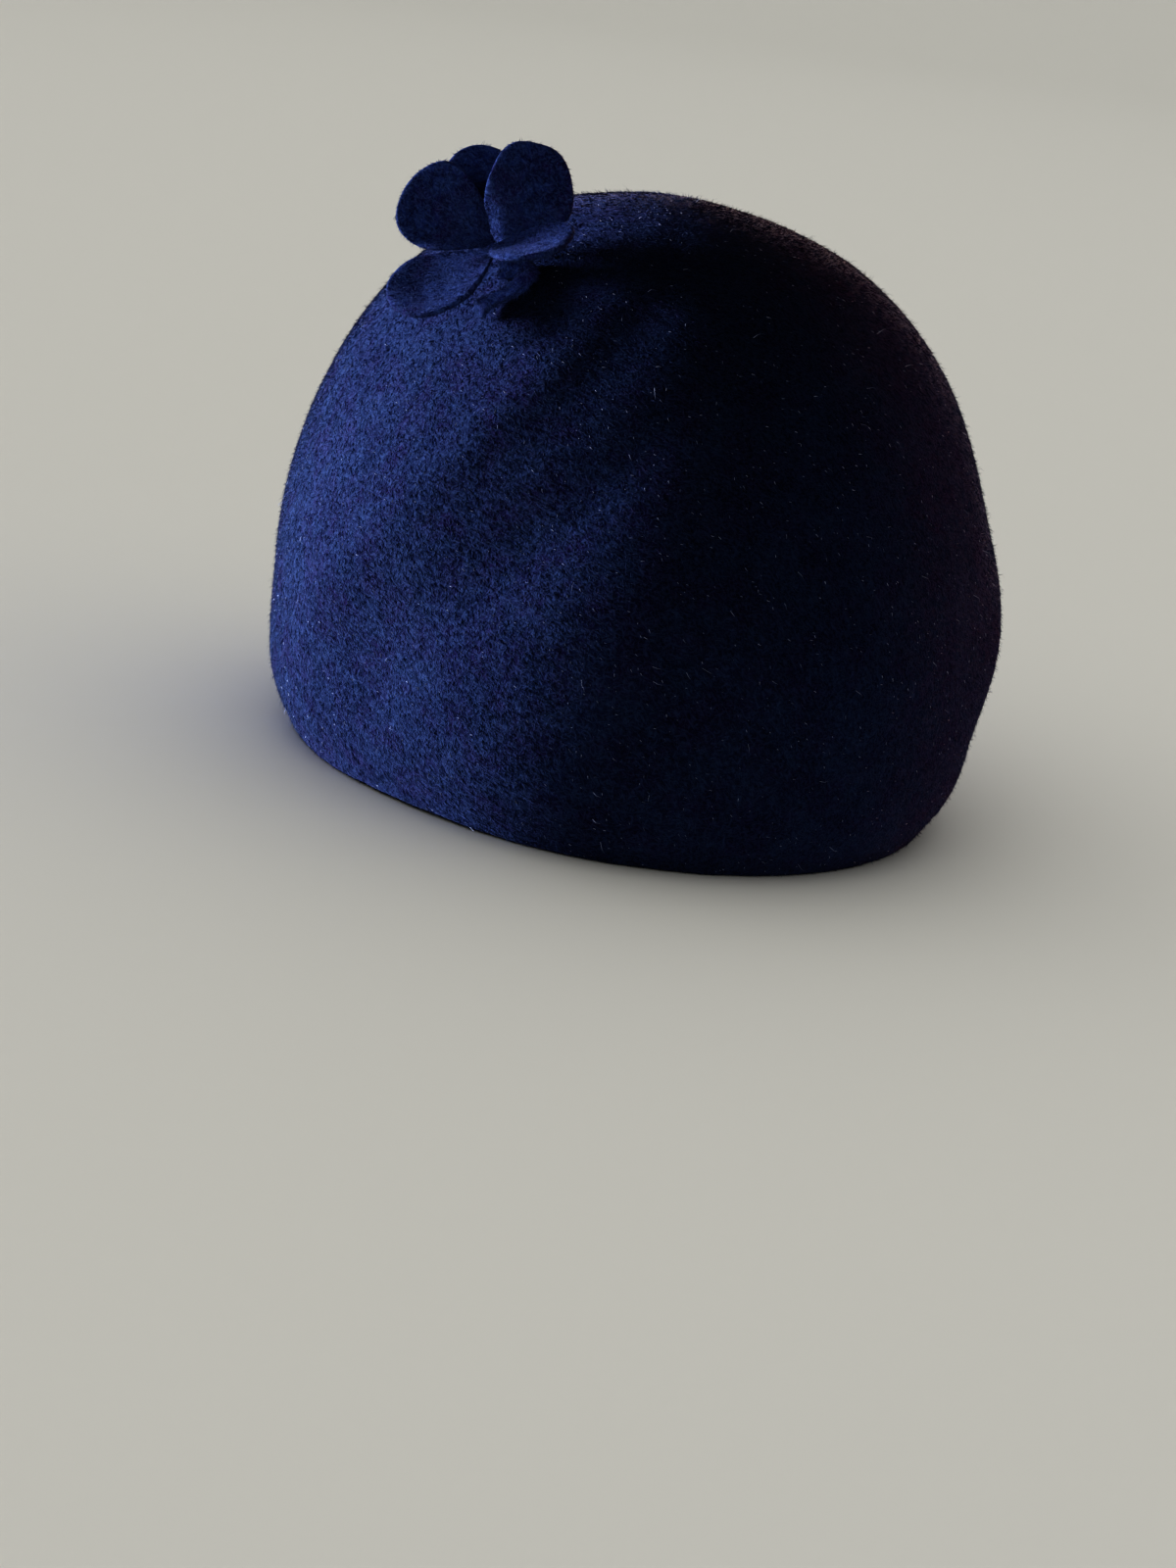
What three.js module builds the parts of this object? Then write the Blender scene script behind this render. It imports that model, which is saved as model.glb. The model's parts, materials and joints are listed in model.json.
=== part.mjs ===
// A cloche hat of navy wool felt: one deep, brimless crown blocked from a single hood, its edge
// cut raw, with a soft swirl of folds, and a five-petal felt flower on a short felt stalk.
// Millimetres. +Z is up, -Y is the forehead, +X is the wearer's left. The hat stands on its cut
// edge, and the origin is on the surface below the middle of its outline.

import * as THREE from "three";
import { ParametricGeometry } from "three/addons/geometries/ParametricGeometry.js";
import { mergeVertices } from "three/addons/utils/BufferGeometryUtils.js";

// Driving dimensions
const FELT = 2;
const CROWN_HEIGHT = 159;
const LENGTH_TO_WIDTH = 1.2;
const PETAL_FELT = 1.6;
const STALK_RADIUS = 3.2;
const GAP = 0.35;

// Fineness of the faceted walls
const AROUND = 72;
const OUTER_ROWS = 34;
const INNER_ROWS = 14;
const PETAL_ROWS = 10;
const PETAL_COLUMNS = 8;
const STALK_SIDES = 10;
const STALK_STEPS = 14;

// Outer half width of the crown at each height, from the cut edge to just below the top
const CROWN_SECTIONS = [
  { height: 0, halfWidth: 84 },
  { height: 14, halfWidth: 91.5 },
  { height: 34, halfWidth: 94.5 },
  { height: 58, halfWidth: 95.5 },
  { height: 82, halfWidth: 90.5 },
  { height: 104, halfWidth: 83 },
  { height: 122, halfWidth: 73.5 },
  { height: 136, halfWidth: 61.5 },
  { height: 147, halfWidth: 46.5 },
  { height: 153.8, halfWidth: 30 },
];

// Soft folds that climb round the crown. Azimuth 0 is the wearer's left and 90 the nape.
// Each is a ridge with a shallow valley under it, and fades in and out along its run.
const FOLDS = [
  { from: { azimuth: -14, height: 36 }, to: { azimuth: 56, height: 142 }, rise: 1.6, width: 9 },
  { from: { azimuth: 118, height: 28 }, to: { azimuth: 176, height: 112 }, rise: 1.2, width: 10 },
];
const VALLEY_BELOW = 1.9;
const VALLEY_SHARE = 0.9;
const FADE_IN = { from: -0.15, to: 0.2 };
const FADE_OUT = { from: 0.8, to: 1.15 };

// Slight unevenness left by blocking the felt by hand: each is a soft swelling, or a hollow
// where its rise is below zero, that dies away over its spread.
const SWELLS = [
  { azimuth: -28, height: 54, rise: -1.7, spread: 22 },
  { azimuth: -22, height: 4, rise: 1.4, spread: 20 },
  { azimuth: 132, height: 22, rise: 1, spread: 24 },
];

// Where the flower sits, and how its axis leans out from the vertical
const FLOWER = { x: 64.3, y: 17, z: 140.4, lean: 25, towards: 24 };

// The petals in the flower's own frame, lowest first. Azimuth turns a petal about the axis, rise
// lifts its tip and turn rolls it about its midrib. Start is how far from the axis its base sits,
// and lift how far up the axis.
const PETALS = [
  { name: "back", azimuth: -145, rise: 40, turn: 5, length: 28.5, width: 22, start: 6.4, lift: 0 },
  { name: "upper_right", azimuth: 167, rise: 31, turn: 49, length: 28, width: 25, start: 5.2, lift: 3.1 },
  { name: "lower_left", azimuth: -18, rise: -18, turn: -10, length: 27, width: 25, start: 0.8, lift: 3.1 },
  { name: "upper_left", azimuth: -87, rise: 37, turn: -40, length: 23, width: 24.5, start: 1.5, lift: 5.2 },
  { name: "lower_right", azimuth: 96, rise: -2, turn: -1, length: 25, width: 24, start: 2.3, lift: 6.9 },
];
const PETAL_CUP = 1.6;
const PETAL_CURL = THREE.MathUtils.degToRad(12);
const PETAL_NECK = 0.8;
const PETAL_FLARE = 0.28;
const PETAL_FLAT_NECK = 0.5;

// The stalk leaves the flower, bends towards the top of the crown and comes down to its foot
const STALK_ROUTE = [
  { name: "bend", x: 59.5, y: 22.5, z: 141.4 },
  { name: "rest", x: 60.6, y: 26.5, z: 138.4 },
  { name: "foot", x: 68, y: 27.6, z: 130.9 },
];

const crownFelt = new THREE.MeshStandardMaterial({ color: "#151b3f", roughness: 0.95, metalness: 0 });
const flowerFelt = new THREE.MeshStandardMaterial({ color: "#121737", roughness: 0.95, metalness: 0 });

const radians = THREE.MathUtils.degToRad;
const degrees = THREE.MathUtils.radToDeg;
const smoothstep = THREE.MathUtils.smoothstep;
const FINE_STEP = 1e-3;

// Degrees round the crown are turned to lengths along the felt at this half width.
const GIRTH = 90.5;

// Leaves only positions, joins the points that meet and drops the facets that closed up on a pole.
function closedGeometry(geometry) {
  geometry.deleteAttribute("normal");
  geometry.deleteAttribute("uv");
  const merged = mergeVertices(geometry, 1e-3);
  const corners = merged.index.array;
  const kept = [];
  for (let i = 0; i < corners.length; i += 3) {
    const [a, b, c] = corners.slice(i, i + 3);
    if (a !== b && b !== c && c !== a) kept.push(a, b, c);
  }
  merged.setIndex(kept);
  merged.computeVertexNormals();
  return merged;
}

// The crown's profile from edge to top as x = half width, y = height. It runs on past the top,
// mirrored, so that the curve is level there.
function crownProfile() {
  const rows = CROWN_SECTIONS.map((row) => new THREE.Vector3(row.halfWidth, row.height, 0));
  const top = new THREE.Vector3(0, CROWN_HEIGHT, 0);
  const beyond = rows.slice(-2).reverse();
  const mirrored = beyond.map((row) => new THREE.Vector3(-row.x, row.y, 0));
  return new THREE.CatmullRomCurve3([...rows, top, ...mirrored], false, "centripetal");
}

const profile = crownProfile();
const PROFILE_TOP = CROWN_SECTIONS.length / (CROWN_SECTIONS.length + 2);

// Height of a fold's relief at a point, given by its azimuth in degrees and its height.
function foldRelief(fold, azimuth, height) {
  const { from, to } = fold;
  const run = new THREE.Vector2(radians(to.azimuth - from.azimuth) * GIRTH, to.height - from.height);
  const place = new THREE.Vector2(radians(azimuth - from.azimuth) * GIRTH, height - from.height);
  const along = place.dot(run) / run.lengthSq();
  const above = run.clone().normalize().cross(place) / fold.width;
  const fadeIn = smoothstep(along, FADE_IN.from, FADE_IN.to);
  const fadeOut = 1 - smoothstep(along, FADE_OUT.from, FADE_OUT.to);
  const ridge = Math.exp(-(above ** 2));
  const valley = Math.exp(-((above + VALLEY_BELOW) ** 2));
  return fold.rise * fadeIn * fadeOut * (ridge - VALLEY_SHARE * valley);
}

// Height of a swelling's relief at the same point.
function swellRelief(swell, azimuth, height) {
  const away = Math.hypot(radians(azimuth - swell.azimuth) * GIRTH, height - swell.height);
  return swell.rise * Math.exp(-((away / swell.spread) ** 2));
}

// A point of the crown's outer skin. turn and climb run from 0 to 1, round it and from edge to top.
function outerPoint(turn, climb, target = new THREE.Vector3()) {
  const section = profile.getPoint(Math.min(climb, 1) * PROFILE_TOP);
  const angle = turn * 2 * Math.PI;
  const azimuth = angle > 1.5 * Math.PI ? degrees(angle) - 360 : degrees(angle);
  let relief = 0;
  for (const fold of FOLDS) relief += foldRelief(fold, azimuth, section.y);
  for (const swell of SWELLS) relief += swellRelief(swell, azimuth, section.y);
  const halfWidth = section.x * (1 + relief / GIRTH);
  return target.set(
    halfWidth * Math.cos(angle),
    halfWidth * LENGTH_TO_WIDTH * Math.sin(angle),
    section.y,
  );
}

// The outward direction of the skin, from two short steps along it.
function outerNormal(turn, climb) {
  const at = Math.min(climb, 1 - 2 * FINE_STEP);
  const round = outerPoint(turn + FINE_STEP, at).sub(outerPoint(turn - FINE_STEP, at));
  const up = outerPoint(turn, at + FINE_STEP).sub(outerPoint(turn, Math.max(at - FINE_STEP, 0)));
  return round.cross(up).normalize();
}

// The inner skin lies one felt thickness inside, and its edge ends level with the outer one.
function innerPoint(turn, climb, target) {
  const inward = outerNormal(turn, climb).negate();
  const outer = outerPoint(turn, climb);
  if (climb >= 1) inward.set(0, 0, -1);
  inward.z *= smoothstep(outer.z, 0, CROWN_SECTIONS[1].height);
  return target.copy(outer).addScaledVector(inward.normalize(), FELT);
}

// One closed skin: down the inside from the top, across the cut edge and up the outside.
function crown() {
  const rows = INNER_ROWS + 1 + OUTER_ROWS;
  const skin = (turn, share, target) => {
    const row = Math.round(share * rows);
    if (row <= INNER_ROWS) innerPoint(turn, 1 - row / INNER_ROWS, target);
    else outerPoint(turn, (row - INNER_ROWS - 1) / OUTER_ROWS, target);
  };
  const mesh = new THREE.Mesh(closedGeometry(new ParametricGeometry(skin, AROUND, rows)), crownFelt);
  mesh.name = "crown";
  return mesh;
}

// A point of a petal's middle surface: x along it, y across it and z up, before it is placed.
// share runs from base to tip, and across is the distance from the midrib.
function petalMiddle(petal, share, across) {
  const edge = (2 * across) / petal.width;
  const spread = smoothstep(share, 0, PETAL_FLAT_NECK);
  const lift = PETAL_CUP * edge ** 2 * spread;
  const roll = radians(petal.turn) * spread;
  const bend = PETAL_CURL * share;
  return new THREE.Vector3(
    (petal.length * Math.sin(bend)) / PETAL_CURL,
    across * Math.cos(roll) - lift * Math.sin(roll),
    (petal.length * (1 - Math.cos(bend))) / PETAL_CURL + across * Math.sin(roll) + lift * Math.cos(roll),
  );
}

// One felt petal: a thin slab with a drop-shaped outline, bent, cupped and rolled.
function petal(row) {
  const slab = new THREE.BoxGeometry(2, 2, 1, PETAL_ROWS, PETAL_COLUMNS, 1);
  const points = slab.attributes.position;
  for (let i = 0; i < points.count; i++) {
    const [x, y] = [points.getX(i), points.getY(i)];
    const share = (x * Math.sqrt(1 - y ** 2 / 2) + 1) / 2;
    const taper = PETAL_NECK + PETAL_FLARE * share;
    const across = y * Math.sqrt(1 - x ** 2 / 2) * (row.width / 2) * taper;
    const middle = petalMiddle(row, share, across);
    const along = petalMiddle(row, share + FINE_STEP, across).sub(middle);
    const sideways = petalMiddle(row, share, across + FINE_STEP).sub(middle);
    const face = along.cross(sideways).normalize();
    const point = middle.addScaledVector(face, points.getZ(i) * PETAL_FELT);
    points.setXYZ(i, point.x, point.y, point.z);
  }
  const mesh = new THREE.Mesh(closedGeometry(slab), flowerFelt);
  const angle = radians(row.azimuth);
  mesh.name = `petal_${row.name}`;
  mesh.rotation.set(0, -radians(row.rise), angle, "ZYX");
  mesh.position.set(row.start * Math.cos(angle), row.start * Math.sin(angle), row.lift);
  return mesh;
}

function flower() {
  const group = new THREE.Group();
  group.position.set(FLOWER.x, FLOWER.y, FLOWER.z);
  group.rotation.set(0, radians(FLOWER.lean), radians(FLOWER.towards), "ZYX");
  group.add(...PETALS.map(petal));
  return group;
}

// A rolled felt cord along the stalk's route, starting just under the lowest petal.
function stalk() {
  const down = new THREE.Vector3(0, 0, -1);
  down.applyEuler(new THREE.Euler(0, radians(FLOWER.lean), radians(FLOWER.towards), "ZYX"));
  const start = new THREE.Vector3(FLOWER.x, FLOWER.y, FLOWER.z);
  start.addScaledVector(down, PETAL_FELT / 2 + GAP);
  const route = STALK_ROUTE.map((point) => new THREE.Vector3(point.x, point.y, point.z));
  const path = new THREE.CatmullRomCurve3([start, ...route]);
  const section = new THREE.Shape().absarc(0, 0, STALK_RADIUS, 0, 2 * Math.PI);
  const tube = new THREE.ExtrudeGeometry(section, {
    steps: STALK_STEPS,
    curveSegments: STALK_SIDES,
    extrudePath: path,
  });
  const mesh = new THREE.Mesh(closedGeometry(tube), flowerFelt);
  mesh.name = "flower_stalk";
  return mesh;
}

const hat = new THREE.Group();
hat.add(crown(), flower(), stalk());

export default hat;
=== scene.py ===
import json
import math

import bmesh
import bpy
from bpy.props import FloatProperty, FloatVectorProperty, IntProperty, PointerProperty
from mathutils import Matrix, Vector, noise
from mathutils.bvhtree import BVHTree

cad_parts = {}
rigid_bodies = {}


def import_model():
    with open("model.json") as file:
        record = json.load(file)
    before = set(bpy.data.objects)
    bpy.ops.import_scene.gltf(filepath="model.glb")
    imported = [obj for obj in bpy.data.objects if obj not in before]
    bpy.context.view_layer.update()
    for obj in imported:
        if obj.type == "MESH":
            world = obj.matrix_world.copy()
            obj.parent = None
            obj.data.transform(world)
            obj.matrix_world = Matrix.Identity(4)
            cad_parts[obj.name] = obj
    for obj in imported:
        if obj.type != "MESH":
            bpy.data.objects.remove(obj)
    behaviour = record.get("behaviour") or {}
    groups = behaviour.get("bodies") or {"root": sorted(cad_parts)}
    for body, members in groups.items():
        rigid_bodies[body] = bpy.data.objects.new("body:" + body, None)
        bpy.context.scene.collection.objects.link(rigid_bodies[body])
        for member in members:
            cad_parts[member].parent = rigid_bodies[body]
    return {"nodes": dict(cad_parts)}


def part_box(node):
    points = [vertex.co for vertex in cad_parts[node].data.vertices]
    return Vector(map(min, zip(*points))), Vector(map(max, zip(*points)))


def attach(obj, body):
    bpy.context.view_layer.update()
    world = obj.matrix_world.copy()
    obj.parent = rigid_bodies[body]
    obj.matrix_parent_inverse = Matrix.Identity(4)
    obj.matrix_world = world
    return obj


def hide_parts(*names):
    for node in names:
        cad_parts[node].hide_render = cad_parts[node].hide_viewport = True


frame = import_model()

bl_info = {
    "name": "Cloche hat",
    "version": (1, 0, 0),
    "blender": (4, 5, 0),
    "location": "3D View > Sidebar > Hat",
    "description": "Wool felt cloche hat with a felt flower, built round its frame",
    "category": "Object",
}

MM = 0.001
PETALS = ("petal_back", "petal_upper_right", "petal_lower_left", "petal_upper_left", "petal_lower_right")


def linear(hex_colour):
    """An sRGB hex colour as linear red, green and blue."""
    channels = [int(hex_colour[i : i + 2], 16) / 255 for i in (1, 3, 5)]
    return tuple(c / 12.92 if c <= 0.04045 else ((c + 0.055) / 1.055) ** 2.4 for c in channels)


def opaque(colour):
    """A colour as a socket takes it, with full opacity."""
    return (*colour, 1.0)


# Settings ---------------------------------------------------------------------------------


def colour_setting(name, description, hex_colour):
    return FloatVectorProperty(
        name=name, description=description, subtype="COLOR", min=0, max=1, default=linear(hex_colour)
    )


def length_setting(name, description, default, least=0.0):
    return FloatProperty(name=name, description=description, unit="LENGTH", min=least, default=default)


def power_setting(name, description, watts):
    return FloatProperty(name=name, description=description, unit="POWER", min=0, default=watts)


def angle_setting(name, description, degrees):
    return FloatProperty(
        name=name, description=description, unit="ROTATION", subtype="ANGLE", default=math.radians(degrees)
    )


class HatSettings(bpy.types.PropertyGroup):
    crown_colour: colour_setting("Crown", "Colour of the crown's felt", "#263556")
    # Painted light: the flower's felt is painted lighter than the crown's, so that the petals and the stalk
    # look more brightly lit
    lightened_flower_colour: colour_setting("Flower", "Colour of the flower's felt", "#303f6a")
    # Painted shade: the darker colour that the hollows between the nap's tufts are painted with
    tuft_shade_colour: colour_setting("Deep nap", "Colour between the tufts of the nap", "#171d3f")
    violet_colour: colour_setting("Violet cast", "Colour of the patches that took more dye", "#2a214a")
    violet_fibre_colour: colour_setting("Violet fibre", "Colour of the fibres in those patches", "#574c7e")
    fibre_colour: colour_setting("Fibre", "Colour of the fibres that stand out", "#53658c")
    fleck_colour: colour_setting("Fleck", "Colour of the pale fibres", "#c6cde6")
    felt: length_setting("Felt", "Thickness of the crown's felt", 2 * MM)
    unevenness: length_setting("Unevenness", "Height of the felt's soft unevenness", 0.3 * MM)
    nap_length: length_setting("Nap", "Length of the short nap", 1.5 * MM)
    nap_density: FloatProperty(
        name="Nap density", description="Fibres on each square metre of felt", min=0, default=400000
    )
    tuft_density: FloatProperty(
        name="Tuft density", description="Tufts on each square metre of felt", min=0, default=300000
    )
    stray_length: length_setting("Stray fibres", "Length of the stray fibres", 3.2 * MM)
    seed: IntProperty(name="Seed", description="Start of the random draws", default=7)


class StageSettings(bpy.types.PropertyGroup):
    floor_colour: colour_setting("Floor", "Colour of the floor and backdrop", "#d4d5d2")
    floor_radius: length_setting("Floor radius", "Distance from the hat to the backdrop", 8)
    azimuth: angle_setting("Azimuth", "Way round to the camera", 150)
    elevation: angle_setting("Elevation", "Height of the camera above the horizon", 16.3)
    roll: angle_setting("Roll", "Turn of the camera about its own axis", 7.3)
    distance: length_setting("Distance", "From the camera to the point it looks at", 0.873)
    lens: FloatProperty(name="Lens", description="Focal length", subtype="DISTANCE_CAMERA", default=70.65)
    aim_right: length_setting("Aim right", "Where the camera looks, beside the origin", -4.34 * MM, least=-1)
    aim_up: length_setting("Aim up", "Where the camera looks, above the origin", -7.15 * MM, least=-1)
    key_power: power_setting("Key", "Power of the window's light", 62)
    back_power: power_setting("Back", "Power of the broad light behind", 30)
    lamp_power: power_setting("Lamp", "Power of the warm lamp", 6)
    ceiling_power: power_setting("Ceiling", "Power of the floor's light", 385)
    fill_power: power_setting("Fill", "Power of each of the flower's two lights", 1.5)


# Materials ----------------------------------------------------------------------------------


def add(tree, kind, inputs=None, **settings):
    """Adds a node with its settings, and gives its inputs a value or a link each."""
    node = tree.nodes.new(kind)
    for key, value in settings.items():
        setattr(node, key, value)
    for key, value in (inputs or {}).items():
        if isinstance(value, bpy.types.NodeSocket):
            tree.links.new(value, node.inputs[key])
        else:
            node.inputs[key].default_value = value
    return node


def per(millimetres):
    """Scale of a pattern whose marks are that many millimetres across."""
    return 1 / (millimetres * MM)


# Directions that the felt's fibres run in, each a turn of the pattern in degrees
FIBRE_TURNS = ((12, 35, 0), (78, -20, 40), (-34, 64, 95), (25, 8, 150))
# Width of a streak in millimetres, and its length as a multiple of that. A wool fibre is about 0.03 mm
# thick, too fine to show, so a streak stands for a lock of fibres.
STREAK_WIDTH = 0.6
STREAK_STRETCH = 5
# Sizes of the felt's other marks in millimetres: its tufts, the darker and lighter spots of its nap, the
# patches that took more dye, and the worn ones
TUFT = 1.9
NAP_SPOT = 2.2
DYED_PATCH = 10
WORN_PATCH = 16
# Largest share of the fibres' colour in the felt's, where it is worn and where a streak runs
WORN_SHARE = 0.15
STREAK_SHARE = 0.38
# Size of the marks that a paint roller leaves, in millimetres
ROLLER_MARK = 3


def blank_material(name):
    """A new material's empty node tree, and each place on a piece in the hat's own coordinates."""
    material = bpy.data.materials.new(name)
    material.use_nodes = True
    tree = material.node_tree
    tree.nodes.clear()
    return tree, add(tree, "ShaderNodeTexCoord").outputs["Object"]


def fibre_marks(tree, place):
    """Height from 0 to 1 of matted fibres: fine streaks in several directions laid over each other."""
    height = None
    for turn in FIBRE_TURNS:
        mapping = add(
            tree,
            "ShaderNodeMapping",
            {
                "Vector": place,
                "Rotation": [math.radians(angle) for angle in turn],
                "Scale": (1, 1, STREAK_STRETCH),
            },
            vector_type="TEXTURE",
        )
        streaks = add(
            tree,
            "ShaderNodeTexNoise",
            {
                "Vector": mapping.outputs[0],
                "Scale": per(STREAK_WIDTH),
                "Detail": 2.0,
                "Roughness": 0.5,
                "Distortion": 0.25,
            },
        )
        sharp = add(
            tree,
            "ShaderNodeMapRange",
            {"Value": streaks.outputs["Fac"], "From Min": 0.5, "From Max": 0.68},
            interpolation_type="SMOOTHSTEP",
        )
        if height is None:
            height = sharp.outputs[0]
        else:
            height = add(
                tree, "ShaderNodeMath", {0: height, 1: sharp.outputs[0]}, operation="MAXIMUM"
            ).outputs[0]
    return height


def dyed(tree, place, colour, violet):
    """Wool's colour where the dye took unevenly: some patches turn violet."""
    tint = add(
        tree,
        "ShaderNodeTexNoise",
        {"Vector": place, "Scale": per(DYED_PATCH), "Detail": 2.0, "Roughness": 0.6},
    )
    cast = add(
        tree,
        "ShaderNodeMapRange",
        {"Value": tint.outputs["Fac"], "From Min": 0.44, "From Max": 0.62},
    )
    mixed = add(
        tree,
        "ShaderNodeMix",
        {0: cast.outputs[0], 6: opaque(colour), 7: opaque(violet)},
        data_type="RGBA",
    )
    return mixed.outputs[2]


def wool_felt(name, colour, tuft_shade, violet, fibre):
    """Wool felt: matt, matted fibres with a mottled nap. Its sheen lightens what is seen at a low
    angle, and the nap breaks the colour up in spots of about two millimetres. The hollows
    between the tufts are painted darker, as painted shade."""
    tree, place = blank_material(name)
    tufts = add(
        tree,
        "ShaderNodeTexNoise",
        {"Vector": place, "Scale": per(TUFT), "Detail": 4.0, "Roughness": 0.6, "Distortion": 0.5},
    )
    wear = add(
        tree,
        "ShaderNodeTexNoise",
        {"Vector": place, "Scale": per(WORN_PATCH), "Detail": 3.0, "Roughness": 0.6},
    )
    fibres = fibre_marks(tree, place)
    # Painted shade: the felt is painted darker where the tufts' height is low, between them
    shade_between_tufts = add(
        tree, "ShaderNodeMapRange", {"Value": tufts.outputs["Fac"], "From Min": 0.38, "From Max": 0.62}
    )
    ground = add(
        tree,
        "ShaderNodeMix",
        {0: shade_between_tufts.outputs[0], 6: opaque(tuft_shade), 7: dyed(tree, place, colour, violet)},
        data_type="RGBA",
    )
    fading = add(
        tree,
        "ShaderNodeMapRange",
        {"Value": wear.outputs["Fac"], "From Min": 0.45, "From Max": 0.7, "To Max": WORN_SHARE},
    )
    worn = add(
        tree,
        "ShaderNodeMix",
        {0: fading.outputs[0], 6: ground.outputs[2], 7: opaque(fibre)},
        data_type="RGBA",
    )
    strands = add(tree, "ShaderNodeMath", {0: fibres, 1: STREAK_SHARE}, operation="MULTIPLY")
    felt = add(
        tree,
        "ShaderNodeMix",
        {0: strands.outputs[0], 6: worn.outputs[2], 7: opaque(fibre)},
        data_type="RGBA",
    )
    lumps = add(
        tree,
        "ShaderNodeBump",
        {"Height": tufts.outputs["Fac"], "Strength": 0.3, "Distance": 0.7 * MM},
    )
    relief = add(
        tree,
        "ShaderNodeBump",
        {"Height": fibres, "Strength": 0.7, "Distance": 0.3 * MM, "Normal": lumps.outputs[0]},
    )
    surface = add(
        tree,
        "ShaderNodeBsdfPrincipled",
        {
            "Base Color": felt.outputs[2],
            "Roughness": 0.95,
            "Specular IOR Level": 0.12,
            "Sheen Weight": 0.28,
            "Sheen Roughness": 0.4,
            "Sheen Tint": opaque(linear("#8c9ce0")),
            "Normal": relief.outputs[0],
        },
    )
    add(tree, "ShaderNodeOutputMaterial", {"Surface": surface.outputs[0]})


def wool_fibre(name, dark, light, violet):
    """Wool fibres, matt and soft: each has its own tone, so that some catch the eye as pale flecks."""
    tree, place = blank_material(name)
    tone = add(tree, "ShaderNodeAttribute", attribute_name="fibre_tone")
    colour = add(
        tree,
        "ShaderNodeMix",
        {0: tone.outputs["Fac"], 6: opaque(dark), 7: dyed(tree, place, light, violet)},
        data_type="RGBA",
    )
    surface = add(
        tree,
        "ShaderNodeBsdfPrincipled",
        {
            "Base Color": colour.outputs[2],
            "Roughness": 0.8,
            "Specular IOR Level": 0.2,
            "Sheen Weight": 0.1,
        },
    )
    add(tree, "ShaderNodeOutputMaterial", {"Surface": surface.outputs[0]})


def floor_paint(colour):
    """Matt emulsion on a smooth floor, with the faint unevenness that a roller leaves."""
    tree, place = blank_material("matt_floor_paint")
    stipple = add(tree, "ShaderNodeTexNoise", {"Vector": place, "Scale": per(ROLLER_MARK), "Detail": 2.0})
    relief = add(
        tree,
        "ShaderNodeBump",
        {"Height": stipple.outputs["Fac"], "Strength": 0.05, "Distance": 0.1 * MM},
    )
    surface = add(
        tree,
        "ShaderNodeBsdfPrincipled",
        {
            "Base Color": opaque(colour),
            "Roughness": 0.9,
            "Specular IOR Level": 0.1,
            "Normal": relief.outputs[0],
        },
    )
    add(tree, "ShaderNodeOutputMaterial", {"Surface": surface.outputs[0]})


# Mesh helpers -------------------------------------------------------------------------------


def merged(node):
    """A bmesh copy of a frame node, its loose triangles joined into one skin of four-sided faces."""
    bm = bmesh.new()
    bm.from_mesh(frame["nodes"][node].data)
    bmesh.ops.remove_doubles(bm, verts=bm.verts, dist=1e-6)
    bmesh.ops.join_triangles(
        bm, faces=bm.faces, angle_face_threshold=math.radians(40), angle_shape_threshold=math.radians(50)
    )
    return bm


def new_object(name, bm, material=None):
    """A smooth object made from a bmesh, which is used up."""
    mesh = bpy.data.meshes.new(name)
    bm.to_mesh(mesh)
    bm.free()
    mesh.shade_smooth()
    if material:
        mesh.materials.append(material)
    made = bpy.data.objects.new(name, mesh)
    bpy.context.scene.collection.objects.link(made)
    return made


def with_modifiers_applied(made):
    """Turns an object's modifiers into its mesh."""
    bpy.context.view_layer.update()
    seen = made.evaluated_get(bpy.context.evaluated_depsgraph_get())
    mesh = bpy.data.meshes.new_from_object(seen)
    made.modifiers.clear()
    spare = made.data
    made.data = mesh
    mesh.name = spare.name = made.name
    bpy.data.meshes.remove(spare)
    return made


def crease(bm, share, chosen):
    """Keeps the chosen edges sharp, by that share, when the skin is subdivided."""
    layer = bm.edges.layers.float.new("crease_edge")
    for edge in bm.edges:
        if chosen(edge):
            edge[layer] = share


def subdivided(made, levels):
    modifier = made.modifiers.new("Subdivision", "SUBSURF")
    modifier.levels = levels
    modifier.render_levels = levels
    return with_modifiers_applied(made)


def fitted(made, slot, *nodes):
    """Puts a finished piece on the hat in place of the frame's nodes."""
    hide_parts(*nodes)
    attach(made, "root")


def smoothed(bm, verts, passes):
    """Evens out some points of a skin."""
    for _ in range(passes):
        bmesh.ops.smooth_vert(bm, verts=verts, factor=0.5, use_axis_x=True, use_axis_y=True, use_axis_z=True)


def shifted(bm, shift):
    """Moves each point of a skin by what the function gives for it on the skin as it was."""
    bm.normal_update()
    moves = [(vert, shift(vert)) for vert in bm.verts]
    for vert, move in moves:
        vert.co += move


def reshaped(made, shift, passes=0):
    """Smooths a finished mesh and then moves its points."""
    bm = bmesh.new()
    bm.from_mesh(made.data)
    smoothed(bm, bm.verts, passes)
    shifted(bm, shift)
    bm.to_mesh(made.data)
    bm.free()


def wave(place, millimetres, seed):
    """Smooth noise from about -1 to 1, with bumps of about that size."""
    return noise.noise(place / (millimetres * MM) + Vector((seed, seed, seed)))


def eased(value, low, high):
    """Zero below low, one above high and a smooth rise between them."""
    share = min(max((value - low) / (high - low), 0), 1)
    return share * share * (3 - 2 * share)


# Crown --------------------------------------------------------------------------------------

# Cuts across each side of the box that the crown's mesh starts from, and its subdivision at the end
CROWN_CUTS = 55
CROWN_LEVELS = 1
# The crown is a circle stretched along, and azimuths are counted on that circle
LENGTH_TO_WIDTH = 1.2
# How far above the cut edge its points are looked for on the form, which ends there
EDGE_MARGIN = 0.4 * MM
# How far down from its top the crown is smoothed once more, and in how many passes
CREST_HEIGHT = 12 * MM
CREST_PASSES = 12
# Edges that bend more than this are the felt's cut edges, and how far they are rounded on the crown
CUT_ANGLE = math.radians(50)
CUT_ROUNDING = 0.4 * MM

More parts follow.
